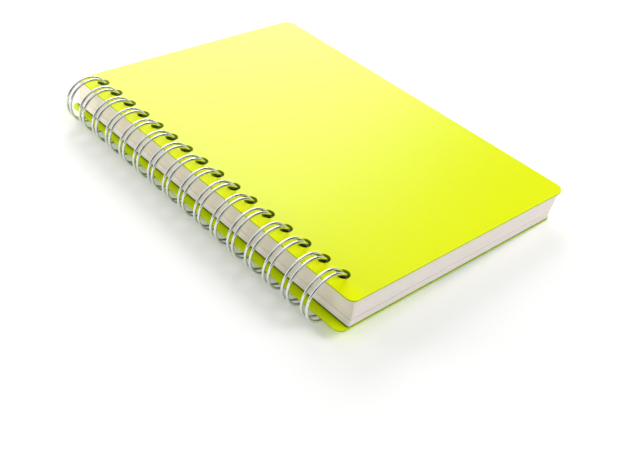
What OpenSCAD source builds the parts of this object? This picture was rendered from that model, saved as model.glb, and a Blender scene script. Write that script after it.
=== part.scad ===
// Twin-loop wire-bound notebook: two plastic covers, a block of sheets and one bent wire that binds them.
// Lengths are millimetres and angles are degrees.

/* [Covers] */
// Width of a cover, from its spine edge to its fore edge
cover_w = 150.6; // [135:0.1:175]
// Length of a cover along the spine
cover_l = 217; // [180:1:260]
// Thickness of a cover
cover_t = 0.8; // [0.5:0.1:1.2]
// Radius of a cover's two corners at the fore edge
fore_corner_r = 6; // [2:0.5:7]
// Radius of a cover's two corners at the spine edge
spine_corner_r = 4; // [2:0.5:7]
// From the front cover's spine edge to the centre of its holes
front_margin = 9.5; // [7:0.5:12]
// From the back cover's spine edge to the centre of its holes
back_margin = 14.7; // [9:0.1:17]

/* [Sheets] */
// Thickness of the block of sheets
block_t = 13.6; // [9:0.2:14]
// Width of a sheet
sheet_w = 144.5; // [130:0.1:148]
// From a sheet's spine edge to the centre of its holes
sheet_margin = 9.6; // [7:0.1:11]
// How far the sheets stop short of the covers at the head and at the tail
sheet_inset = 0.8; // [0.6:0.1:4]
// How much nearer to the tail the lowest sheets lie than the top ones
tail_lean = 0.6; // [0:0.1:1.2]
// Number of leaf groups whose edges show as fine steps
leaf_groups = 22; // [8:1:30]
// How far the lowest sheets lie back at the fore edge
fore_lean = 5.3; // [0:0.1:6]
// How far the lowest sheets stand out at the spine edge
spine_flare = 2; // [0:0.1:2.4]
// How much further the sheets stand out at the spine edge's head than at its tail
spine_skew = 1.6; // [0:0.1:2]
// Largest sideways jog of one leaf group
leaf_jog = 0.12; // [0:0.02:0.2]

/* [Holes] */
// Distance between the holes, centre to centre
hole_pitch = 12.7; // [11:0.1:16]
// From the covers' tail edge to the centre of the nearest hole
tail_margin = 15.9; // [10:0.1:18]
// Least distance from the covers' head edge to the centre of the nearest hole
head_margin = 9; // [7:0.5:10]
// Play between the two wires of a loop and the wall of their hole
hole_play = 0.8; // [0.5:0.05:0.9]

/* [Wire] */
// Diameter of the wire
wire_d = 1.4; // [1:0.1:1.5]
// Radius of a closed loop, to the middle of the wire
loop_r = 12.2; // [11.5:0.1:15]
// Distance between the two wires of a loop, centre to centre
loop_spacing = 3.4; // [3.2:0.1:3.8]
// Radius of the bends at the seam, to the middle of the wire
root_r = 1.4; // [1.2:0.1:1.6]
// Free radius inside a loop's closed tip
tip_inner_r = 0.28; // [0.2:0.02:0.4]
// Turn over which the two wires of a loop draw together towards the tip
tip_turn = 28; // [24:1:34]
// Gap between a loop's tip and the bends at the seam
tip_gap = 0.15; // [0.1:0.05:0.4]
// From the front cover's underside down to the seam of the wire
seam_depth = 0.9; // [0.3:0.1:1.5]
// Length of the cut ends at the head and at the tail
wire_end = 1.5; // [0.5:0.5:3]
// Play between the seam of the wire and the channel that it presses into the top sheets
seam_play = 0.35; // [0.3:0.05:0.6]

/* [Hidden] */

$fn = 48;

// Gap between faces that lie on each other
rest_gap = 0.1;
// Play between the sheets' spine edges and a cover that turns past them
swing_play = 0.05;
// Distance that a cutter runs past a face
past = 1;

stack_t = 2 * cover_t + block_t + 2 * rest_gap;
wire_r = wire_d / 2;
hole_d = loop_spacing + wire_d + 2 * hole_play;

// Holes along the spine. The covers' middle lies at y = 0 and their tail edge at the lowest y.
hole_count = floor((cover_l - tail_margin - head_margin) / hole_pitch) + 1;
hole_ys = [for (i = [0 : hole_count - 1]) tail_margin - cover_l / 2 + i * hole_pitch];
sheet_l = cover_l - 2 * sheet_inset;

// The loops' common axis is the y axis. The stack is centred on it in height.
front_z = stack_t / 2 - cover_t;
back_z = -stack_t / 2;
block_z = back_z + cover_t + rest_gap;

// Holes sit where the round loops pass: x at which a loop crosses a given height
function loop_x(z) = sqrt(loop_r * loop_r - z * z);
// The sheets' holes split the loops' bulge between the middle and the lowest sheet
block_hole_x = (loop_r + loop_x(block_z)) / 2;
front_hole_x = loop_x(front_z + cover_t / 2) - wire_r;
back_hole_x = loop_x(back_z + cover_t / 2) - wire_r / 2;

// At rest the back cover's fore edge and the bottoms of the loops meet the table
back_fore_x = back_hole_x - back_margin + cover_w;
loop_outer_r = loop_r + wire_r;
rest_tilt = asin(loop_outer_r / norm([back_fore_x, back_z])) - atan(-back_z / back_fore_x);
front_fore_x = front_hole_x - front_margin + cover_w;
far_x = front_fore_x * cos(rest_tilt) + (front_z + cover_t) * sin(rest_tilt);
centre_x = (far_x - loop_outer_r) / 2;

// Bends of the wire. A place on the wire is [point, direction, side to which it bends].
function bend_middle(place, r) = place[0] + r * place[2];
function after_bend(place, r, a) = [
    bend_middle(place, r) + r * (sin(a) * place[1] - cos(a) * place[2]),
    cos(a) * place[1] + sin(a) * place[2],
    cos(a) * place[2] - sin(a) * place[1]
];

// The middle of the seam's straight runs lies at this height
seam_z = front_z - seam_depth - wire_r;
root_angle = asin(seam_z / norm([loop_r, root_r])) - atan(root_r / loop_r);

// The tip is a round turn of radius tip_r that both wires enter while they draw together.
// The lean of that last bend out of the loop's own plane follows from the half spacing:
// loop_spacing / 2 = drop * sin(lean) + tip_r * sqrt(1 - (sin(tip_turn) * sin(lean)) ^ 2)
tip_r = wire_r + tip_inner_r;
half_spacing = loop_spacing / 2;
drop = loop_r * (1 - cos(tip_turn));
square_term = drop * drop + pow(tip_r * sin(tip_turn), 2);
root_term = pow(half_spacing * drop, 2) - square_term * (half_spacing * half_spacing - tip_r * tip_r);
lean = asin((half_spacing * drop - sqrt(root_term)) / square_term);
tip_slant = asin(sin(tip_turn) * sin(lean));

// Angle on the loop at which the last bend starts, so that the tip clears the seam's bends
tip_reach = sqrt(pow(tip_r + root_r + wire_d + tip_gap, 2) - pow(half_spacing + root_r, 2));
arc_degrees = 180 / (PI * loop_r);
join_angle = root_angle + tip_turn + (tip_reach - tip_r * sin(tip_slant)) * arc_degrees;
loop_sweep = 360 + root_angle - join_angle;

// The straight runs of the seam lie at this x, between the root bends of one loop and the next
seam_x = loop_r * cos(root_angle) - root_r * sin(root_angle);
seam_run = hole_pitch - loop_spacing - 2 * root_r;

// Each stretch of the wire stops short of the next, inside a joint that stands out by a hair
joint_gap = 0.1;
joint_rise = 0.03;
function unit(v) = v / norm(v);

// Turns a piece about the loops' axis
module turned(a) {
    rotate([0, a, 0]) children();
}

// Moves the book from the loops' axis to where it lies on the table
module laid_down() {
    translate([-centre_x, 0, loop_outer_r]) turned(rest_tilt) children();
}

// A row of round holes with their axes along z
module hole_row(x, z, depth) {
    for (y = hole_ys) {
        translate([x, y, z - past]) cylinder(d = hole_d, h = depth + 2 * past);
    }
}

// The strip along one long edge of a cover, from x, with its two round corners about round_x
module cover_side(x, round_x, r) {
    translate([x, r - cover_l / 2]) square([r, cover_l - 2 * r]);
    for (y = [r - cover_l / 2, cover_l / 2 - r]) {
        translate([round_x, y]) circle(r = r);
    }
}

// A cover's outline with round corners, spine edge at x = 0
module cover_outline() {
    fore_x = cover_w - fore_corner_r;
    translate([spine_corner_r, -cover_l / 2]) square([fore_x - spine_corner_r, cover_l]);
    cover_side(0, spine_corner_r, spine_corner_r);
    cover_side(fore_x, fore_x, fore_corner_r);
}

// A flat cover at height z with its holes at hole_x
module cover(hole_x, margin, z) {
    difference() {
        translate([hole_x - margin, 0, z]) linear_extrude(cover_t) cover_outline();
        hole_row(hole_x, z, cover_t);
    }
}

// Wire that runs straight from one place to the next
module wire_straight(from, along, length) {
    side = cross(along, [0, 0, 1]);
    up = cross(side, along);
    multmatrix([
        [side.x, up.x, along.x, from.x],
        [side.y, up.y, along.y, from.y],
        [side.z, up.z, along.z, from.z],
        [0, 0, 0, 1]
    ]) translate([0, 0, joint_gap]) cylinder(d = wire_d, h = length - 2 * joint_gap);
}

// Wire that bends through the angle a with the radius r
module wire_bend(place, r, a) {
    out = -place[2];
    along = place[1];
    axis = cross(out, along);
    middle = bend_middle(place, r);
    trim = joint_gap / r * 180 / PI;
    multmatrix([
        [out.x, along.x, axis.x, middle.x],
        [out.y, along.y, axis.y, middle.y],
        [out.z, along.z, axis.z, middle.z],
        [0, 0, 0, 1]
    ]) rotate_extrude(start = trim, angle = a - 2 * trim) translate([r, 0]) circle(d = wire_d);
}

// Where two stretches of the wire meet
module wire_joint(place) {
    translate(place[0]) sphere(d = wire_d + 2 * joint_rise);
}

// One side of a loop, from its tip round to the seam's straight run
module half_loop(side) {
    middle_side = [0, -side, 0];
    join = [
        [loop_r * cos(join_angle), side * half_spacing, loop_r * sin(join_angle)],
        [sin(join_angle), 0, -cos(join_angle)],
        [-cos(join_angle), 0, -sin(join_angle)]
    ];
    drawn_in = [join[0], join[1], cos(lean) * join[2] + sin(lean) * middle_side];
    drawn_end = after_bend(drawn_in, loop_r, tip_turn);
    ahead = unit(drawn_end[1] - (drawn_end[1] * middle_side) * middle_side);
    tip = [drawn_end[0], drawn_end[1], cos(tip_slant) * middle_side - sin(tip_slant) * ahead];

    back = [join[0], -join[1], join[2]];
    loop_end = after_bend(back, loop_r, loop_sweep);
    root = [loop_end[0], loop_end[1], -middle_side];

    wire_bend(drawn_in, loop_r, tip_turn);
    wire_bend(back, loop_r, loop_sweep);
    wire_bend(root, root_r, 90);
    wire_joint(drawn_end);
    wire_joint(join);
    wire_joint(loop_end);
    wire_joint(after_bend(root, root_r, 90));
    if (side > 0) {
        wire_bend(tip, tip_r, 180 - 2 * tip_slant);
    }
}

module front_cover() {
    color("#e6f21a") laid_down() cover(front_hole_x, front_margin, front_z);
}

module back_cover() {
    color("#c3dc14") laid_down() cover(back_hole_x, back_margin, back_z);
}

// The shallow channel along the holes that holds the seam of the wire
module seam_channel() {
    half_w = wire_r + seam_play;
    end_reach = half_spacing + root_r + wire_end + seam_play;
    first_y = hole_ys[0] - end_reach;
    run = hole_ys[hole_count - 1] + end_reach - first_y;
    floor_z = seam_z - wire_r - seam_play / 2;
    translate([seam_x - half_w, first_y, floor_z]) cube([2 * half_w, run, block_t]);
}

// How far sheets between two heights may stand out past the loops' axis and still clear the opening covers
function free_reach(z, top_z) =
    let (swing_r = front_z - swing_play, far_z = max(abs(z), abs(top_z)))
    sqrt(max(0, swing_r * swing_r - far_z * far_z));

// Leaf groups are stacked flat and reach a little into each other. One thin group lies back as a gap.
module page_block() {
    group_t = block_t / leaf_groups;
    group_grip = 0.04;
    gap_group = floor(leaf_groups / 4);
    color("#ebe4d8") laid_down() difference() {
        for (k = [0 : leaf_groups - 1]) {
            low = 1 - (k + 0.5) / leaf_groups;
            flare = spine_flare * pow(max(0, low - 0.5) / 0.5, 2);
            jog = leaf_jog * sin(137.5 * k);
            tuck = k == gap_group ? 2.5 * leaf_jog : 0;
            reach = k > 0 ? group_grip : 0;
            z = block_z + k * group_t - reach;
            least_x = -free_reach(z, z + reach + group_t);
            spine_x = block_hole_x - sheet_margin - flare + jog + tuck;
            tail_x = max(least_x, spine_x);
            head_x = max(least_x, spine_x - spine_skew);
            fore_x = block_hole_x - sheet_margin + sheet_w - fore_lean * low + jog - tuck;
            tail_y = jog + tail_lean * (0.5 - low) - sheet_l / 2 + tuck;
            head_y = tail_y + sheet_l - 2 * tuck;
            translate([0, 0, z]) linear_extrude(group_t + reach)
                polygon([[tail_x, tail_y], [fore_x, tail_y], [fore_x, head_y], [head_x, head_y]]);
        }
        hole_row(block_hole_x, block_z, block_t);
        seam_channel();
    }
}

// The wire runs on from loop to loop along the seam, and is cut off at both ends
module binding_wire() {
    run_offset = half_spacing + root_r;
    color("#c9cdcd") laid_down() for (i = [0 : hole_count - 1]) {
        translate([0, hole_ys[i], 0]) {
            half_loop(-1);
            half_loop(1);
            if (i == 0) {
                wire_straight([seam_x, -run_offset - wire_end, seam_z], [0, 1, 0], wire_end);
            }
            wire_straight([seam_x, run_offset, seam_z], [0, 1, 0], i < hole_count - 1 ? seam_run : wire_end);
        }
    }
}

front_cover();
page_block();
back_cover();
binding_wire();
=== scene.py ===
"""A closed twin-loop notebook: two lime plastic covers, a block of sheets and one bent silver wire."""

from functools import partial
from math import acos, asin, atan, cos, hypot, pi, radians, sin, sqrt

import bpy
from bpy.props import FloatProperty, FloatVectorProperty, IntProperty, PointerProperty
from bpy.types import Operator, Panel, PropertyGroup
from mathutils import Matrix, Quaternion, Vector


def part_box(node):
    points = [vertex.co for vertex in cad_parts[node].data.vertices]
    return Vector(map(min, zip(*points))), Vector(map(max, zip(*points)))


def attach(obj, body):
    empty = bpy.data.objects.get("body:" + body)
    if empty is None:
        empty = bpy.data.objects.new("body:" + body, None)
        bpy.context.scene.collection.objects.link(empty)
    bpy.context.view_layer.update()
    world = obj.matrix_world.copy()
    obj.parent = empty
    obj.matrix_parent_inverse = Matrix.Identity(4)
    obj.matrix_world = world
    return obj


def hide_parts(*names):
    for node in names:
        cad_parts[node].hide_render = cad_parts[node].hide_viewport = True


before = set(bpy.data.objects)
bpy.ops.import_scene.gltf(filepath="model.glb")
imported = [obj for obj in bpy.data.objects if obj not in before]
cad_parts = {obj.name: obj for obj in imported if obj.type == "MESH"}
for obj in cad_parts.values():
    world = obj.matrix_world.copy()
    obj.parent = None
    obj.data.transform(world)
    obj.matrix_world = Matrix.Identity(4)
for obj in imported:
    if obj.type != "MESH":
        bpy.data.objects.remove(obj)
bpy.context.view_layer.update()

bl_info = {
    "name": "Wire-bound notebook",
    "version": (1, 0, 0),
    "blender": (4, 5, 0),
    "location": "View3D > Sidebar > Notebook",
    "description": "Builds a twin-loop wire-bound notebook and its studio stage",
    "category": "Add Mesh",
}

# Sizes that the pieces share, in millimetres

# Every piece is made in the book's own frame: the loops' axis is the y axis, x runs to the fore edge and the
# stack lies level. stand_on_table() then turns it by the book's small tilt and sets it on the table.
MM = 0.001

# A leaf that is drawn in by a depth shrinks by that depth's share of about half its width
HALF_LEAF = 70.0

# How strongly polypropylene bends light, which also sets how much it mirrors
PLASTIC_IOR = 1.49


def measured_tilt():
    """The book's tilt in radians, as in the part: the loops and the back cover's edge touch the table."""
    low_z = -SIZES["stack"] / 2
    fore_x = SIZES["back_hole_x"] - SIZES["back_margin"] + SIZES["cover_w"]
    return asin(SIZES["loop_outer_r"] / hypot(fore_x, low_z)) - atan(-low_z / fore_x)


def shared_sizes():
    """Named sizes of the book in millimetres, in the book's own frame."""
    s = dict(cover_w=150.6, cover_l=217.0, cover_t=0.8, fore_corner_r=6.0, spine_corner_r=4.0)
    s.update(front_margin=9.5, back_margin=14.7)
    s.update(block_t=13.6, sheet_w=144.5, sheet_margin=9.6, sheet_inset=0.8, pitch=12.7, first_hole=-92.6)
    s.update(fore_lean=5.3, spine_flare=2.0, spine_skew=1.6, tail_lean=0.6)
    s.update(loops=16, wire_r=0.7, loop_r=12.2, spacing=3.4, root_r=1.4, tip_inner_r=0.28, tip_turn=28.0)
    s.update(tip_gap=0.15, wire_end=1.5, rest_gap=0.1, hole_r=3.2, seam_play=0.35, seam_depth=0.9)
    s.update(swing_play=0.05)
    s["stack"] = 2 * s["cover_t"] + s["block_t"] + 2 * s["rest_gap"]
    s["front_z"] = s["stack"] / 2 - s["cover_t"]
    s["back_z"] = -s["stack"] / 2
    s["block_z"] = s["back_z"] + s["cover_t"] + s["rest_gap"]
    r = s["loop_r"]
    s["block_hole_x"] = (r + sqrt(r * r - s["block_z"] ** 2)) / 2
    s["front_hole_x"] = sqrt(r * r - (s["front_z"] + s["cover_t"] / 2) ** 2) - s["wire_r"]
    s["back_hole_x"] = sqrt(r * r - (s["back_z"] + s["cover_t"] / 2) ** 2) - s["wire_r"] / 2
    s["loop_outer_r"] = r + s["wire_r"]
    # The seam's run lies under the front cover, in a channel that it presses into the top sheets
    s["seam_z"] = s["front_z"] - s["seam_depth"] - s["wire_r"]
    s["root_angle"] = asin(s["seam_z"] / hypot(r, s["root_r"])) - atan(s["root_r"] / r)
    s["seam_x"] = r * cos(s["root_angle"]) - s["root_r"] * sin(s["root_angle"])
    return s


SIZES = shared_sizes()
TILT = measured_tilt()


def stand_on_table():
    """Matrix from the book's frame in millimetres to the part's frame in metres."""
    outer_r = SIZES["loop_outer_r"] * MM
    axis = Matrix.Translation((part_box("binding_wire")[0].x + outer_r, 0, outer_r))
    return axis @ Matrix.Rotation(TILT, 4, "Y") @ Matrix.Diagonal((MM, MM, MM, 1))


# Colours and materials


def hex_colour(text):
    """sRGB hex such as 'C0FFEE' to linear RGBA."""
    parts = [int(text[i : i + 2], 16) / 255 for i in (0, 2, 4)]
    return [c / 12.92 if c <= 0.04045 else ((c + 0.055) / 1.055) ** 2.4 for c in parts] + [1.0]


def fill(tree, node, inputs):
    """Links or sets a node's inputs, by name or by number."""
    for key, value in inputs.items():
        if isinstance(value, bpy.types.NodeSocket):
            tree.links.new(value, node.inputs[key])
        else:
            node.inputs[key].default_value = value


def add(tree, kind, inputs=None, **settings):
    """Adds a node to a tree, with its settings, its sockets' values and its links."""
    made = tree.nodes.new(kind)
    for name, value in settings.items():
        setattr(made, name, value)
    fill(tree, made, inputs or {})
    return made


def math(tree, operation, a, b=0.0):
    """A Math node's result."""
    return add(tree, "ShaderNodeMath", {0: a, 1: b}, operation=operation).outputs[0]


def dot(tree, vector, direction):
    """How far a vector reaches in a direction."""
    made = add(tree, "ShaderNodeVectorMath", {0: vector, 1: direction}, operation="DOT_PRODUCT")
    return made.outputs["Value"]


def ramp(tree, value, start, end, low=0.0, high=1.0):
    """A number that goes from low to high while a value goes from start to end."""
    ends = {"Value": value, "From Min": start, "From Max": end, "To Min": low, "To Max": high}
    return add(tree, "ShaderNodeMapRange", ends).outputs["Result"]


def blend(tree, factor, first, second):
    """The first colour at a factor of 0 and the second at 1."""
    return add(tree, "ShaderNodeMix", {"Factor": factor, 6: first, 7: second}, data_type="RGBA").outputs[2]


def noise(tree, place, scale, detail, roughness=0.5):
    """Noise about 0.5, with about as many grains in a metre as the scale says."""
    inputs = {"Vector": place, "Scale": scale, "Detail": detail, "Roughness": roughness}
    return add(tree, "ShaderNodeTexNoise", inputs).outputs["Fac"]


def tones(tree, value, stops):
    """A value's colour on a ramp of (place, hex) stops."""
    made = add(tree, "ShaderNodeValToRGB", {"Fac": value})
    elements = made.color_ramp.elements
    while len(elements) < len(stops):
        elements.new(0.5)
    for element, (place, text) in zip(elements, stops):
        element.position = place
        element.color = hex_colour(text)
    return made.outputs["Color"]


def relief(tree, height, strength, depth, under=None):
    """The normal of a surface with bumps of some depth in metres, which may lie on another relief."""
    inputs = {"Height": height, "Strength": strength, "Distance": depth}
    if under is not None:
        inputs["Normal"] = under
    return add(tree, "ShaderNodeBump", inputs).outputs["Normal"]


def new_material(name):
    """A node material, its tree, its shader with nothing linked yet, and the object's own coordinates."""
    material = bpy.data.materials.new(name)
    material.use_nodes = True
    tree = material.node_tree
    tree.nodes.clear()
    shader = add(tree, "ShaderNodeBsdfPrincipled")
    add(tree, "ShaderNodeOutputMaterial", {"Surface": shader.outputs[0]})
    return material, tree, shader, add(tree, "ShaderNodeTexCoord").outputs["Object"]


def lime_polypropylene(name, colour, under_sheets=False):
    """Extruded polypropylene sheet with one satin side: saturated, waxy and a little uneven in its gloss."""
    material, tree, shader, place = new_material(name)
    # Broad, faint clouds of colour, about 50 mm across, as the sheet's dye and thickness vary
    deeper = [part * 0.97 for part in colour]
    tint = blend(tree, noise(tree, place, 20.0, 2.0), [*deeper, 1.0], [*colour, 1.0])
    # In the real book the loops bow the strip between the holes and the spine edge: here that strip is
    # painted brighter as painted light, and it mirrors hardly any of the room
    across = add(tree, "ShaderNodeSeparateXYZ", {"Vector": place}).outputs[0]
    hole_x = stand_on_table().translation.x + SIZES["front_hole_x"] * MM
    strip_ends = hole_x - 0.004, hole_x + 0.001
    painted_strip_light = [colour[0] * 1.04, min(1.0, colour[1] * 1.05), colour[2]]
    tint = blend(tree, ramp(tree, across, *strip_ends, 1.0, 0.0), tint, [*painted_strip_light, 1.0])
    if under_sheets:
        # Green shade gathers over about 4 mm beside the sheets that stand on a cover, with a thin olive line
        # in the corner itself
        contact = add(tree, "ShaderNodeAmbientOcclusion", {"Distance": 0.004}, samples=8).outputs["AO"]
        open_sky = math(tree, "POWER", ramp(tree, contact, 0.5, 0.95), 0.6)
        shade = [colour[0] * 0.16, colour[1] * 0.26, colour[2]]
        tint = blend(tree, open_sky, [*shade, 1.0], tint)
    # The satin emboss has grains of about 0.35 mm, and wear changes its gloss over about 15 mm
    emboss = noise(tree, place, 2800.0, 2.0, 0.6)
    wear = noise(tree, place, 60.0, 4.0)
    finish = {
        "Base Color": tint,
        "Roughness": ramp(tree, wear, 0.3, 0.7, 0.285, 0.315),
        "Normal": relief(tree, emboss, 0.08, 0.00003),
        "Specular IOR Level": ramp(tree, across, *strip_ends, 0.04, 0.25),
        "IOR": PLASTIC_IOR,
        "Subsurface Weight": 0.1,
        "Subsurface Radius": (1.0, 1.0, 0.1),
        "Subsurface Scale": 0.0008,
    }
    fill(tree, shader, finish)
    return material


def cut_polypropylene():
    """The sheet's die-cut edge: the same plastic, darker and duller, with fine lines from the blade."""
    material, tree, shader, place = new_material("Die-cut edge of lime polypropylene")
    # Blade lines run through the thickness, about 0.4 mm apart
    lines = noise(tree, place, 2500.0, 1.0)
    finish = {
        "Base Color": tones(tree, lines, [(0.3, "A6C000"), (0.7, "BED800")]),
        "Roughness": 0.5,
        "Normal": relief(tree, lines, 0.25, 0.00005),
        "IOR": PLASTIC_IOR,
    }
    fill(tree, shader, finish)
    return material


def sheet_lines(tree, place, along, detail):
    """Noise drawn out along the sheets, with about as many grains in a metre along them as said.

    A sheet is 0.1 mm thick, which is too fine to show, so the lines are drawn about 0.5 mm apart.
    """
    scale = (1.0 / along, 1.0 / along, 1.0 / 1800)
    turned = {"Vector": place, "Rotation": (0.0, TILT, 0.0), "Scale": scale}
    level = add(tree, "ShaderNodeMapping", turned, vector_type="TEXTURE").outputs[0]
    return noise(tree, level, 1.0, detail)


def cut_paper():
    """White uncoated paper, trimmed by guillotine: fine uneven lines along the sheets' edges."""
    material, tree, shader, place = new_material("Uncoated white paper")
    lines = sheet_lines(tree, place, 8, 3.0)
    white = tones(tree, lines, [(0.3, "EAE1DA"), (0.45, "EFE7E1"), (0.7, "F2EBE6")])
    # Painted shade: the first 6 mm behind the spine edges are tinted a darker, warmer tan, for the binding's
    # shade and the lime light that the covers throw there; the lowest sheets, which stand out and are turned
    # to the light, are left out of it and look whiter, as painted light
    across = add(tree, "ShaderNodeSeparateXYZ", {"Vector": place}).outputs[0]
    spine_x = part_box("page_block")[0].x
    spine_shade_tint = ramp(tree, across, spine_x, spine_x + 0.006, 0.65, 0.0)
    upright = Vector((sin(TILT), 0.0, cos(TILT)))
    low_edge = upright.dot(stand_on_table().translation) + SIZES["block_z"] * MM
    above = ramp(tree, dot(tree, place, upright), low_edge + 0.0025, low_edge + 0.004)
    fibres = noise(tree, place, 3000.0, 3.0)
    finish = {
        "Base Color": blend(tree, math(tree, "MULTIPLY", spine_shade_tint, above), white, hex_colour("DDD2AC")),
        "Roughness": 0.85,
        "Normal": relief(tree, lines, 0.12, 0.00006, relief(tree, fibres, 0.2, 0.00003)),
        "Specular IOR Level": 0.25,
    }
    fill(tree, shader, finish)
    return material


def punched_paper():
    """The walls of the sheets' holes: white paper painted lime-olive as painted shade, for the lime cover's
    shade and the green light it lets in.
    """
    material, tree, shader, place = new_material("Punched paper painted in lime shade")
    # The punch leaves the sheets' lines, as on the block's outer edges
    lines = sheet_lines(tree, place, 40, 2.0)
    finish = {
        "Base Color": tones(tree, lines, [(0.35, "9CBC14"), (0.65, "BAD830")]),
        "Roughness": 0.8,
        "Normal": relief(tree, lines, 0.3, 0.00006),
        "Specular IOR Level": 0.2,
    }
    fill(tree, shader, finish)
    return material


def silver_wire(coat):
    """Drawn steel wire with a bright silver coat: smooth, metallic, with very faint drawing marks."""
    material, tree, shader, place = new_material("Silver-coated drawn steel")
    # The marks are about 2.5 mm long and change the coat's colour and its gloss together
    marks = noise(tree, place, 400.0, 4.0)
    worn = tones(tree, marks, [(0.3, "DDE1E0"), (0.7, "E9ECEB")])
    finish = {
        "Base Color": blend(tree, 0.5, worn, [*coat, 1.0]),
        "Roughness": ramp(tree, marks, 0.3, 0.7, 0.07, 0.12),
        "Normal": relief(tree, marks, 0.03, 0.00002),
        "Metallic": 1.0,
    }
    fill(tree, shader, finish)
    return material


# Mesh helpers


def edge_loops_object(name, lines, closed=True):
    """An object whose mesh is one or more lines of edges, each through its list of points."""
    points, edges = [], []
    for line in lines:
        start = len(points)
        points += [tuple(p) for p in line]
        edges += [(i, i + 1) for i in range(start, len(points) - 1)]
        if closed:
            edges.append((len(points) - 1, start))
    mesh = bpy.data.meshes.new(name)
    mesh.from_pydata(points, edges, [])
    made = bpy.data.objects.new(name, mesh)
    bpy.context.scene.collection.objects.link(made)
    return made


def join_meshes(name, objects):
    """Joins plain mesh objects into the first one and names it."""
    with bpy.context.temp_override(active_object=objects[0], selected_editable_objects=objects):
        bpy.ops.object.join()
    objects[0].name = name
    return objects[0]


def keep_result(source, modifier):
    """Puts the plain result of an object's modifier into its mesh and removes the modifier."""
    depsgraph = bpy.context.evaluated_depsgraph_get()
    made = source.evaluated_get(depsgraph)
    result = bpy.data.meshes.new_from_object(made, preserve_all_data_layers=True, depsgraph=depsgraph)
    source.modifiers.remove(modifier)
    source.data = result
    result.name = source.name


def run_tree(source, tree, values):
    """Runs a Geometry Nodes tree on an object and puts the plain result into it."""
    modifier = source.modifiers.new("Build", "NODES")
    modifier.node_group = tree
    for item in tree.interface.items_tree:
        if item.item_type == "SOCKET" and item.in_out == "INPUT" and item.name in values:
            modifier[item.identifier] = values[item.name]
    keep_result(source, modifier)


def apply_bevel(source, width):
    """Rounds the sharp rims of a sheet by width and leaves a plain mesh."""
    bevel = source.modifiers.new("Soft rims", "BEVEL")
    bevel.width = width
    bevel.segments = 2
    bevel.limit_method = "ANGLE"
    bevel.angle_limit = radians(60)
    bevel.harden_normals = False
    keep_result(source, bevel)


def new_tree(name, inputs):
    """A Geometry Nodes tree with a geometry input and output and the named inputs after it."""
    tree = bpy.data.node_groups.new(name, "GeometryNodeTree")
    tree.interface.new_socket(name="Geometry", in_out="INPUT", socket_type="NodeSocketGeometry")
    for label, kind, value in inputs:
        socket = tree.interface.new_socket(name=label, in_out="INPUT", socket_type="NodeSocket" + kind)
        if value is not None:
            socket.default_value = value
    tree.interface.new_socket(name="Geometry", in_out="OUTPUT", socket_type="NodeSocketGeometry")
    return tree, add(tree, "NodeGroupInput").outputs, add(tree, "NodeGroupOutput")


def paint(tree, geometry, material, where=None):
    """Sets a material on a geometry, or on its chosen faces."""
    inputs = {"Geometry": geometry, "Material": material}
    if where is not None:
        inputs["Selection"] = where
    return add(tree, "GeometryNodeSetMaterial", inputs).outputs[0]


def compare(tree, a, b, operation, **settings):
    """Whether two numbers compare as said."""
    return add(tree, "FunctionNodeCompare", {"A": a, "B": b}, operation=operation, **settings).outputs[0]


def rounded_outline(x0, x1, half_l, r0, r1, steps=10):
    """A rectangle in the plane z = 0 with round corners, of radius r0 at x0 and r1 at x1."""
    points = []
    corners = [(x1 - r1, 1, r1, 0), (x0 + r0, 1, r0, 90), (x0 + r0, -1, r0, 180), (x1 - r1, -1, r1, 270)]
    for middle_x, side, r, start in corners:
        for i in range(steps + 1):
            a = radians(start + 90 * i / steps)
            points.append(Vector((middle_x + r * cos(a), side * (half_l - r) + r * sin(a), 0)))
    return points


def slot_outline():
    """The top leaves' slot: holes where the loops pass the top leaf, joined by the channel for the seam."""
    s = SIZES
    row_x = sqrt(s["loop_r"] ** 2 - s["front_z"] ** 2) - s["block_hole_x"]
    middle = s["seam_x"] - s["block_hole_x"]
    half_w = s["wire_r"] + s["seam_play"]
    reach = s["spacing"] / 2 + s["root_r"] + s["wire_end"] + s["seam_play"]
    r = s["hole_r"]
    centres = [s["first_hole"] + i * s["pitch"] for i in range(s["loops"])]
    points = []
    for side, row in ((1, centres), (-1, centres[::-1])):
        x = middle + side * half_w
        open_angle = acos(side * (x - row_x) / r)
        points.append((x, row[0] - side * reach, 0))
        for y in row:
            for i in range(7):
                a = open_angle * (i / 3 - 1)
                points.append((row_x + side * r * cos(a), y + side * r * sin(a), 0))
        points.append((x, row[-1] + side * reach, 0))
    return points


# Trees


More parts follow.
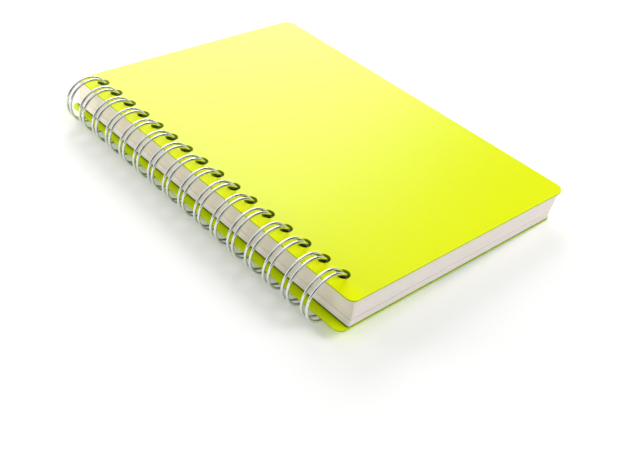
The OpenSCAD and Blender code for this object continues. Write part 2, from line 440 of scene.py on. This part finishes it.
def punched_sheet_tree():
    """Fills an outline, punches the row of round holes and gives it its thickness."""
    inputs = [
        ("Hole count", "Int", 16),
        ("Hole pitch", "Float", 12.7),
        ("Hole radius", "Float", 3.2),
        ("Hole sides", "Int", 32),
        ("First hole", "Vector", (0.0, 0.0, 0.0)),
        ("Thickness", "Float", 0.8),
        ("Face material", "Material", None),
        ("Cut edge material", "Material", None),
    ]
    tree, given, out = new_tree("Punched sheet", inputs)
    outline = add(tree, "GeometryNodeMeshToCurve", {"Mesh": given["Geometry"]})
    step = add(tree, "ShaderNodeCombineXYZ", {"Y": given["Hole pitch"]})
    row = add(
        tree,
        "GeometryNodeMeshLine",
        {"Count": given["Hole count"], "Start Location": given["First hole"], "Offset": step.outputs[0]},
    )
    hole = add(
        tree,
        "GeometryNodeCurvePrimitiveCircle",
        {"Resolution": given["Hole sides"], "Radius": given["Hole radius"]},
    )
    holes = add(tree, "GeometryNodeInstanceOnPoints", {"Points": row.outputs[0], "Instance": hole.outputs[0]})
    holes = add(tree, "GeometryNodeRealizeInstances", {"Geometry": holes.outputs[0]})
    lines = add(tree, "GeometryNodeJoinGeometry")
    tree.links.new(outline.outputs[0], lines.inputs[0])
    tree.links.new(holes.outputs[0], lines.inputs[0])
    face = add(tree, "GeometryNodeFillCurve", {"Curve": lines.outputs[0]}, mode="TRIANGLES")
    walls = add(
        tree,
        "GeometryNodeExtrudeMesh",
        {"Mesh": face.outputs[0], "Offset Scale": given["Thickness"], "Individual": False},
    )
    bottom = add(tree, "GeometryNodeFlipFaces", {"Mesh": face.outputs[0]})
    whole = add(tree, "GeometryNodeJoinGeometry")
    tree.links.new(walls.outputs["Mesh"], whole.inputs[0])
    tree.links.new(bottom.outputs[0], whole.inputs[0])
    joined = add(tree, "GeometryNodeMergeByDistance", {"Geometry": whole.outputs[0], "Distance": 0.001})
    real = add(tree, "GeometryNodeRealizeInstances", {"Geometry": joined.outputs[0]})
    faces = paint(tree, real.outputs[0], given["Face material"])
    edges = paint(tree, faces, given["Cut edge material"], walls.outputs["Side"])
    tree.links.new(edges, out.inputs[0])
    return tree


def leaf_stack_tree():
    """Stacks one leaf many times. The lowest leaves lie back at the fore edge and stand out at the spine."""
    inputs = [
        ("Leaf count", "Int", 40),
        ("First leaf", "Int", 0),
        ("Whole count", "Int", 48),
        ("Leaf pitch", "Float", 0.28),
        ("Leaf width", "Float", 144.5),
        ("Leaf length", "Float", 215.4),
        ("Spine side", "Float", -9.6),
        ("Fore lean", "Float", 5.3),
        ("Spine flare", "Float", 2.0),
        ("Spine skew", "Float", 1.6),
        ("Tail lean", "Float", 0.6),
        ("Jog", "Float", 0.12),
        ("Gap leaf", "Int", 10),
        ("Gap depth", "Float", 0.3),
        ("Pinch depth", "Float", 1.0),
        ("Seed", "Int", 4),
        ("Material", "Material", None),
        ("Hole reach", "Float", 4.0),
        ("Hole shade material", "Material", None),
        ("Axis side", "Float", -11.2),
        ("Axis height", "Float", 6.8),
        ("Swing radius", "Float", 6.85),
    ]
    tree, given, out = new_tree("Leaf stack", inputs)
    kinds = "ADD", "SUBTRACT", "MULTIPLY", "DIVIDE", "POWER", "MAXIMUM", "ABSOLUTE"
    plus, minus, times, over, power, larger, size_of = (partial(math, tree, kind) for kind in kinds)
    step = add(tree, "ShaderNodeCombineXYZ", {"Z": given["Leaf pitch"]})
    first = add(tree, "ShaderNodeCombineXYZ", {"Z": times(given["First leaf"], given["Leaf pitch"])})
    pile = add(
        tree,
        "GeometryNodeMeshLine",
        {"Count": given["Leaf count"], "Start Location": first.outputs[0], "Offset": step.outputs[0]},
    )
    # The gap leaf is drawn in all round
    index = add(tree, "GeometryNodeInputIndex").outputs[0]
    is_gap = compare(tree, index, given["Gap leaf"], "EQUAL", data_type="INT")
    shrink = minus(1.0, over(times(is_gap, given["Gap depth"]), HALF_LEAF))
    size = add(tree, "ShaderNodeCombineXYZ", {"X": shrink, "Y": shrink, "Z": 1.0})
    leaves = add(
        tree,
        "GeometryNodeInstanceOnPoints",
        {"Points": pile.outputs[0], "Instance": given["Geometry"], "Scale": size.outputs[0]},
    )
    real = add(tree, "GeometryNodeRealizeInstances", {"Geometry": leaves.outputs[0]})
    place = add(tree, "GeometryNodeInputPosition").outputs[0]
    x, y, z = add(tree, "ShaderNodeSeparateXYZ", {"Vector": place}).outputs
    # Which leaf a point belongs to, and how low that leaf lies, from 0 at the top to 1 at the bottom
    rank = math(tree, "FLOOR", plus(over(z, given["Leaf pitch"]), 0.02))
    low = minus(1.0, over(rank, given["Whole count"]))
    # The lower half flares at the spine, more so towards the head, and all lean back at the fore edge
    across = over(minus(x, given["Spine side"]), given["Leaf width"])
    flare = times(power(over(larger(minus(low, 0.5), 0.0), 0.5), 2.0), given["Spine flare"])
    headward = plus(over(y, given["Leaf length"]), 0.5)
    flare = plus(flare, times(headward, given["Spine skew"]))
    at_spine = times(flare, minus(1.0, across))
    at_fore = times(times(low, given["Fore lean"]), across)
    shift = times(plus(at_spine, at_fore), -1.0)
    to_tail = times(minus(0.5, low), given["Tail lean"])
    jog_low = times(given["Jog"], -1.0)
    jogs = []
    for extra in (0, 7):
        jog = add(
            tree,
            "FunctionNodeRandomValue",
            {2: jog_low, 3: given["Jog"], "ID": rank, "Seed": plus(given["Seed"], float(extra))},
            data_type="FLOAT",
        )
        jogs.append(jog.outputs[1])
    # The covers turn about the loops' axis, so no leaf stands out past the circle that their inner faces
    # touch
    floor_z = minus(times(rank, given["Leaf pitch"]), given["Axis height"])
    far_z = larger(size_of(floor_z), size_of(plus(floor_z, given["Leaf pitch"])))
    room = minus(power(given["Swing radius"], 2.0), power(far_z, 2.0))
    least_x = minus(given["Axis side"], math(tree, "SQRT", larger(room, 0.0)))
    # At the spine the gap leaf and the lowest two leaves stand back, the latter pinched by the back cover
    gap_rank = compare(tree, rank, given["Gap leaf"], "EQUAL")
    pinched = times(math(tree, "LESS_THAN", rank, 1.5), given["Pinch depth"])
    back_step = plus(times(gap_rank, given["Gap depth"]), pinched)
    near_spine = larger(minus(1.0, times(across, 16.0)), 0.0)
    inward = plus(jogs[0], times(back_step, near_spine))
    target = add(
        tree,
        "ShaderNodeCombineXYZ",
        {"X": larger(plus(x, plus(shift, inward)), least_x), "Y": plus(y, plus(to_tail, jogs[1])), "Z": z},
    )
    moved = add(tree, "GeometryNodeSetPosition", {"Geometry": real.outputs[0], "Position": target.outputs[0]})
    # The row of holes lies along x = 0, and no hole comes near the head or the tail
    from_end = minus(times(given["Leaf length"], 0.5), given["Hole reach"])
    beside_row = compare(tree, size_of(x), given["Hole reach"], "LESS_THAN")
    off_ends = compare(tree, size_of(y), from_end, "LESS_THAN")
    in_row = add(tree, "FunctionNodeBooleanMath", {0: beside_row, 1: off_ends}, operation="AND")
    painted = paint(tree, moved.outputs[0], given["Material"])
    # The hole walls get the paper painted in lime shade
    holes = paint(tree, painted, given["Hole shade material"], in_row.outputs[0])
    tree.links.new(holes, out.inputs[0])
    return tree


def bound_wire_tree():
    """Repeats one loop's line along the spine, joins the lines into one and bends a round wire along it."""
    inputs = [
        ("Loop count", "Int", 16),
        ("Loop pitch", "Float", 12.7),
        ("First loop", "Float", -92.6),
        ("Wire radius", "Float", 0.7),
        ("Wire sides", "Int", 12),
        ("End trim", "Float", 1.75),
        ("Material", "Material", None),
    ]
    tree, given, out = new_tree("Bound wire", inputs)
    start = add(tree, "ShaderNodeCombineXYZ", {"Y": given["First loop"]})
    step = add(tree, "ShaderNodeCombineXYZ", {"Y": given["Loop pitch"]})
    row = add(
        tree,
        "GeometryNodeMeshLine",
        {"Count": given["Loop count"], "Start Location": start.outputs[0], "Offset": step.outputs[0]},
    )
    repeat = {"Points": row.outputs[0], "Instance": given["Geometry"]}
    loops = add(tree, "GeometryNodeInstanceOnPoints", repeat)
    loops = add(tree, "GeometryNodeRealizeInstances", {"Geometry": loops.outputs[0]})
    joined = add(tree, "GeometryNodeMergeByDistance", {"Geometry": loops.outputs[0], "Distance": 0.001})
    line = add(tree, "GeometryNodeMeshToCurve", {"Mesh": joined.outputs[0]})
    length = add(tree, "GeometryNodeCurveLength", {"Curve": line.outputs[0]}).outputs[0]
    cut = add(tree, "GeometryNodeTrimCurve", {"Curve": line.outputs[0]}, mode="LENGTH")
    tree.links.new(given["End trim"], cut.inputs[4])
    tree.links.new(math(tree, "SUBTRACT", length, given["End trim"]), cut.inputs[5])
    section = {"Resolution": given["Wire sides"], "Radius": given["Wire radius"]}
    profile = add(tree, "GeometryNodeCurvePrimitiveCircle", section)
    tube = add(
        tree,
        "GeometryNodeCurveToMesh",
        {"Curve": cut.outputs[0], "Profile Curve": profile.outputs[0], "Fill Caps": True},
    )
    smooth = add(tree, "GeometryNodeSetShadeSmooth", {"Geometry": tube.outputs[0]})
    real = add(tree, "GeometryNodeRealizeInstances", {"Geometry": smooth.outputs[0]})
    tree.links.new(paint(tree, real.outputs[0], given["Material"]), out.inputs[0])
    return tree


# The wire's line


def bend(place, r, angle, steps):
    """Places along a bend. A place is (point, direction, side to which it bends); angle is in radians."""
    point, ahead, side = place
    middle = point + r * side
    made = []
    for i in range(1, steps + 1):
        a = angle * i / steps
        made.append(
            (
                middle + r * (sin(a) * ahead - cos(a) * side),
                cos(a) * ahead + sin(a) * side,
                cos(a) * side - sin(a) * ahead,
            )
        )
    return made


def half_loop_line():
    """The line of one side of a loop, from the middle of its closed tip to the middle of the seam's run."""
    s = SIZES
    half = s["spacing"] / 2
    root_angle = s["root_angle"]
    turn = radians(s["tip_turn"])
    tip_r = s["wire_r"] + s["tip_inner_r"]
    drop = s["loop_r"] * (1 - cos(turn))
    square = drop * drop + (tip_r * sin(turn)) ** 2
    root = (half * drop) ** 2 - square * (half * half - tip_r * tip_r)
    lean = asin((half * drop - sqrt(root)) / square)
    slant = asin(sin(turn) * sin(lean))
    reach = sqrt((tip_r + s["root_r"] + 2 * s["wire_r"] + s["tip_gap"]) ** 2 - (half + s["root_r"]) ** 2)
    join_angle = root_angle + turn + (reach - tip_r * sin(slant)) / s["loop_r"]
    middle = Vector((0, -1, 0))
    inward = Vector((-cos(join_angle), 0, -sin(join_angle)))
    ahead = Vector((sin(join_angle), 0, -cos(join_angle)))
    join = Vector((s["loop_r"] * cos(join_angle), half, s["loop_r"] * sin(join_angle)))
    drawn = bend((join, ahead, cos(lean) * inward + sin(lean) * middle), s["loop_r"], turn, 10)
    point, direction, _ = drawn[-1]
    along = (direction - direction.dot(middle) * middle).normalized()
    tip = bend((point, direction, cos(slant) * middle - sin(slant) * along), tip_r, pi / 2 - slant, 7)
    back = bend((join, -ahead, inward), s["loop_r"], 2 * pi + root_angle - join_angle, 84)
    point, direction, _ = back[-1]
    seam = bend((point, direction, -middle), s["root_r"], pi / 2, 8)
    line = [p for p, _, _ in reversed(tip)] + [p for p, _, _ in reversed(drawn[:-1])] + [join]
    line += [p for p, _, _ in back] + [p for p, _, _ in seam]
    line.append(Vector((line[-1].x, s["pitch"] / 2, line[-1].z)))
    return line


def loop_line():
    """One whole loop's line, from seam to tip to seam."""
    half = half_loop_line()
    other = [Vector((p.x, -p.y, p.z)) for p in half]
    return list(reversed(other)) + half[1:]


# Settings


class NotebookLooks(PropertyGroup):
    """Colours and finishing sizes of the notebook."""

    front_colour: FloatVectorProperty(
        name="Front colour",
        description="Dye of the front cover",
        subtype="COLOR",
        default=hex_colour("F0FC00")[:3],
        min=0,
        max=1,
    )
    # Painted shade: the back cover is the front's plastic, coloured darker and greener for the shade it lies
    # in
    shaded_back_colour: FloatVectorProperty(
        name="Shaded back colour",
        description="Colour of the back cover, the front's plastic painted darker and greener as shade",
        subtype="COLOR",
        default=hex_colour("DEF400")[:3],
        min=0,
        max=1,
    )
    wire_colour: FloatVectorProperty(
        name="Wire colour",
        description="Coat of the binding wire",
        subtype="COLOR",
        default=hex_colour("DDE1E0")[:3],
        min=0,
        max=1,
    )
    rim_round: FloatProperty(
        name="Rim rounding",
        description="Width of the soft rim of a die-cut cover in millimetres",
        default=0.12,
        min=0.02,
        max=0.3,
    )
    leaf_count: IntProperty(
        name="Leaf groups",
        description="Groups of sheets whose edges show",
        default=48,
        min=8,
        max=80,
    )
    leaf_jog: FloatProperty(
        name="Leaf jog",
        description="Sideways jog of a leaf group in millimetres",
        default=0.03,
        min=0,
        max=0.3,
    )
    wire_sides: IntProperty(
        name="Wire sides",
        description="Sides of the wire's round section",
        default=16,
        min=6,
        max=24,
    )


# Pieces


def make_cover(name, hole_x, margin, z, looks, faces, edges):
    """One punched cover as a plain mesh in the part's frame."""
    s = SIZES
    spine_x = hole_x - margin
    radii = s["spine_corner_r"], s["fore_corner_r"]
    outline = rounded_outline(spine_x, spine_x + s["cover_w"], s["cover_l"] / 2, *radii)
    cover = edge_loops_object(name, [outline])
    values = {
        "Hole count": s["loops"],
        "Hole pitch": s["pitch"],
        "Hole radius": s["hole_r"],
        "Hole sides": 40,
        "First hole": (hole_x, s["first_hole"], 0.0),
        "Thickness": s["cover_t"],
        "Face material": faces,
        "Cut edge material": edges,
    }
    run_tree(cover, punched_sheet_tree(), values)
    apply_bevel(cover, looks.rim_round)
    cover.data.transform(Matrix.Translation((0, 0, z)))
    cover.data.transform(stand_on_table())
    return cover


class NOTEBOOK_OT_covers(Operator):
    """Make the two lime plastic covers with their punched holes"""

    bl_idname = "notebook.covers"
    bl_label = "Covers"

    def execute(self, context):
        looks = context.scene.notebook_looks
        s = SIZES
        edges = cut_polypropylene()
        faces = lime_polypropylene("Lime satin polypropylene", looks.front_colour)
        place = s["front_hole_x"], s["front_margin"], s["front_z"]
        front = make_cover("front_cover_sheet", *place, looks, faces, edges)
        # The back cover's faces carry the painted shade colour, and the painted shade beside the sheets
        faces = lime_polypropylene("Lime satin polypropylene in painted shade", looks.shaded_back_colour, under_sheets=True)
        place = s["back_hole_x"], s["back_margin"], s["back_z"]
        back = make_cover("back_cover_sheet", *place, looks, faces, edges)
        for piece, body in ((front, "front_cover"), (back, "back_cover")):
            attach(piece, body)
            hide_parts(body)
        return {"FINISHED"}


class NOTEBOOK_OT_page_block(Operator):
    """Make the block of punched sheets with its uneven cut edges"""

    bl_idname = "notebook.page_block"
    bl_label = "Page block"

    def execute(self, context):
        looks = context.scene.notebook_looks
        s = SIZES
        paper, painted_hole_shade = cut_paper(), punched_paper()
        count = looks.leaf_count
        thickness = s["block_t"] / count
        # The top leaves have the channel for the wire's seam, which joins their holes into one slot
        channel_floor = s["seam_z"] - s["wire_r"] - s["seam_play"] / 2
        plain = int((channel_floor - s["block_z"]) / thickness)
        half_l = s["cover_l"] / 2 - s["sheet_inset"]
        sides = -s["sheet_margin"], s["sheet_w"] - s["sheet_margin"]
        outline = rounded_outline(*sides, half_l, 0.3, 0.3, steps=2)
        piles = []
        for name, lines, holes, first, leaves in (
            ("page_leaves", [outline], s["loops"], 0, plain),
            ("top_leaves", [outline, slot_outline()], 0, plain, count - plain),
        ):
            pile = edge_loops_object(name, lines)
            values = {
                "Hole count": holes,
                "Hole pitch": s["pitch"],
                "Hole radius": s["hole_r"],
                "Hole sides": 16,
                "First hole": (0.0, s["first_hole"], 0.0),
                "Thickness": thickness,
                "Face material": paper,
                "Cut edge material": paper,
            }
            run_tree(pile, punched_sheet_tree(), values)
            stack = {
                "Leaf count": leaves,
                "First leaf": first,
                "Whole count": count,
                "Leaf pitch": thickness,
                "Leaf width": s["sheet_w"],
                "Leaf length": 2 * half_l,
                "Spine side": -s["sheet_margin"],
                "Fore lean": s["fore_lean"],
                "Spine flare": s["spine_flare"],
                "Spine skew": s["spine_skew"],
                "Tail lean": s["tail_lean"],
                "Jog": looks.leaf_jog,
                "Gap leaf": count // 4,
                "Gap depth": 0.35,
                "Pinch depth": 1.4,
                "Seed": 4,
                "Material": paper,
                "Hole reach": s["hole_r"] + 1.2,
                "Hole shade material": painted_hole_shade,
                "Axis side": -s["block_hole_x"],
                "Axis height": -s["block_z"],
                "Swing radius": s["front_z"] - s["swing_play"],
            }
            run_tree(pile, leaf_stack_tree(), stack)
            piles.append(pile)
        block = join_meshes("page_leaves", piles)
        block.data.transform(Matrix.Translation((s["block_hole_x"], 0, s["block_z"])))
        block.data.transform(stand_on_table())
        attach(block, "pages")
        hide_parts("page_block")
        return {"FINISHED"}


class NOTEBOOK_OT_binding_wire(Operator):
    """Bend the one silver wire that forms all the loops, their closed tips and the seam"""

    bl_idname = "notebook.binding_wire"
    bl_label = "Binding wire"

    def execute(self, context):
        looks = context.scene.notebook_looks
        s = SIZES
        wire = edge_loops_object("looped_wire", [loop_line()], closed=False)
        seam_run = s["pitch"] - s["spacing"] - 2 * s["root_r"]
        values = {
            "Loop count": s["loops"],
            "Loop pitch": s["pitch"],
            "First loop": s["first_hole"],
            "Wire radius": s["wire_r"],
            "Wire sides": looks.wire_sides,
            "End trim": seam_run / 2 - s["wire_end"],
            "Material": silver_wire(looks.wire_colour),
        }
        run_tree(wire, bound_wire_tree(), values)
        wire.data.transform(stand_on_table())
        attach(wire, "pages")
        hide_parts("binding_wire")
        return {"FINISHED"}


def table_top():
    """The pale table, which stands in for what the book lies on."""
    half = 4.0
    mesh = bpy.data.meshes.new("table_top")
    corners = [(-half, -half, 0), (half, -half, 0), (half, half, 0), (-half, half, 0)]
    mesh.from_pydata(corners, [], [(0, 1, 2, 3)])
    floor = bpy.data.objects.new("table_top", mesh)
    bpy.context.scene.collection.objects.link(floor)
    material, tree, shader, place = new_material("Pale matt table")
    # The table is a shade whiter to the eye, and in metal, than the light on it alone would make it, and more
    # so far from the lamps
    seen_by = add(tree, "ShaderNodeLightPath").outputs
    direct = math(tree, "MAXIMUM", seen_by["Is Camera Ray"], seen_by["Is Glossy Ray"])
    away = add(tree, "ShaderNodeVectorMath", {0: place}, operation="LENGTH").outputs["Value"]
    finish = {
        "Base Color": hex_colour("FBFBFA"),
        "Roughness": 0.9,
        "Specular IOR Level": 0.1,
        "Emission Color": (1.0, 1.0, 1.0, 1.0),
        "Emission Strength": math(tree, "MULTIPLY", direct, ramp(tree, away, 0.4, 1.6, 0.15, 0.7)),
    }
    fill(tree, shader, finish)
    mesh.materials.append(material)
    return floor


def studio_world():
    """A white room to the eye, a soft plain light on the book, and a picture of its own in gloss."""
    world = bpy.data.worlds.new("Studio")
    world.use_nodes = True
    sky = world.node_tree
    sky.nodes.clear()
    toward = add(sky, "ShaderNodeTexCoord").outputs["Generated"]
    parts = add(sky, "ShaderNodeSeparateXYZ", {"Vector": toward}).outputs
    # What shines in plastic and metal: a white room, but dim low down on the camera's side and in one
    # patch of the far wall, the one that the front cover mirrors to the camera
    behind = ramp(sky, parts[1], -0.25, 0.1, 1.0, 0.0)
    low = ramp(sky, parts[2], 0.64, 0.8, 1.0, 0.0)
    far_wall = ramp(sky, dot(sky, toward, (0.661, 0.429, 0.616)), 0.89, 0.975)
    dark = math(sky, "MAXIMUM", math(sky, "MULTIPLY", behind, low), far_wall)
    shine = math(sky, "SUBTRACT", 0.97, math(sky, "MULTIPLY", dark, 0.95))
    soft, seen, mirrored = (
        add(sky, "ShaderNodeBackground", {"Color": (1, 1, 1, 1), "Strength": strength}).outputs[0]
        for strength in (0.33, 1.0, shine)
    )
    light_path = add(sky, "ShaderNodeLightPath").outputs
    direct = math(sky, "MAXIMUM", light_path["Is Camera Ray"], light_path["Is Transmission Ray"])
    mixed = add(sky, "ShaderNodeMixShader", {0: direct, 1: soft, 2: seen}).outputs[0]
    mixed = add(sky, "ShaderNodeMixShader", {0: light_path["Is Glossy Ray"], 1: mixed, 2: mirrored})
    add(sky, "ShaderNodeOutputWorld", {"Surface": mixed.outputs[0]})
    return world


def area_lamp(name, place, target, size, power, roll=0.0, mirrored=True):
    """A soft lamp of some watts that looks at a target, rolled by some degrees, and seen in gloss or not."""
    lamp = bpy.data.lights.new(name, "AREA")
    lamp.shape = "RECTANGLE"
    lamp.size, lamp.size_y = size
    lamp.energy = power
    made = bpy.data.objects.new(name, lamp)
    made.location = place
    made.rotation_mode = "QUATERNION"
    toward = (Vector(target) - Vector(place)).to_track_quat("-Z", "Y")
    made.rotation_quaternion = toward @ Quaternion((0, 0, 1), radians(roll))
    made.visible_camera = False
    made.visible_glossy = mirrored
    bpy.context.scene.collection.objects.link(made)


def photo_camera():
    """The camera at the photograph's place and angle, in metres."""
    lens = bpy.data.cameras.new("photo_camera")
    lens.lens = 53.809
    lens.sensor_width = 36.0
    lens.clip_start = 0.01
    camera = bpy.data.objects.new("photo_camera", lens)
    camera.location = (-0.285177, -0.292189, 0.283918)
    camera.rotation_mode = "QUATERNION"
    camera.rotation_quaternion = Quaternion((0.8496098, 0.388639, -0.1902897, -0.3015175))
    bpy.context.scene.collection.objects.link(camera)
    return camera


class NOTEBOOK_OT_stage(Operator):
    """Make the pale table, the soft lamps and the camera"""

    bl_idname = "notebook.stage"
    bl_label = "Stage"

    def execute(self, context):
        table_top()
        context.scene.world = studio_world()
        middle, spine = (0.0, 0.0, 0.01), (-0.07, 0.0, 0.01)
        area_lamp("key_softbox", (0.46, -0.69, 0.74), middle, (0.6, 0.6), 6.2, mirrored=False)
        # Its slanting lower edge is what fades the sheen on the cover from the head's corner to the fore edge
        area_lamp("far_softbox", (0.567, 0.907, 0.555), middle, (1.02, 0.69), 9.6, roll=40)
        area_lamp("side_softbox", (-0.5, 0.5, 0.12), spine, (0.35, 0.2), 3.4, mirrored=False)
        context.scene.camera = photo_camera()
        context.scene.view_settings.view_transform = "Standard"
        return {"FINISHED"}


class NOTEBOOK_PT_panel(Panel):
    """Lists the notebook's settings and its pieces"""

    bl_idname = "NOTEBOOK_PT_panel"
    bl_label = "Wire-bound notebook"
    bl_space_type = "VIEW_3D"
    bl_region_type = "UI"
    bl_category = "Notebook"

    def draw(self, context):
        looks = context.scene.notebook_looks
        for name in NotebookLooks.__annotations__:
            self.layout.prop(looks, name)
        for operator in PIECES:
            self.layout.operator(operator.bl_idname)


PIECES = (NOTEBOOK_OT_covers, NOTEBOOK_OT_page_block, NOTEBOOK_OT_binding_wire, NOTEBOOK_OT_stage)
CLASSES = (NotebookLooks, *PIECES, NOTEBOOK_PT_panel)


def register():
    for cls in CLASSES:
        bpy.utils.register_class(cls)
    bpy.types.Scene.notebook_looks = PointerProperty(type=NotebookLooks)


def unregister():
    del bpy.types.Scene.notebook_looks
    for cls in reversed(CLASSES):
        bpy.utils.unregister_class(cls)


def main():
    register()
    bpy.ops.notebook.covers()
    bpy.ops.notebook.page_block()
    bpy.ops.notebook.binding_wire()
    bpy.ops.notebook.stage()


if __name__ == "__main__":
    main()
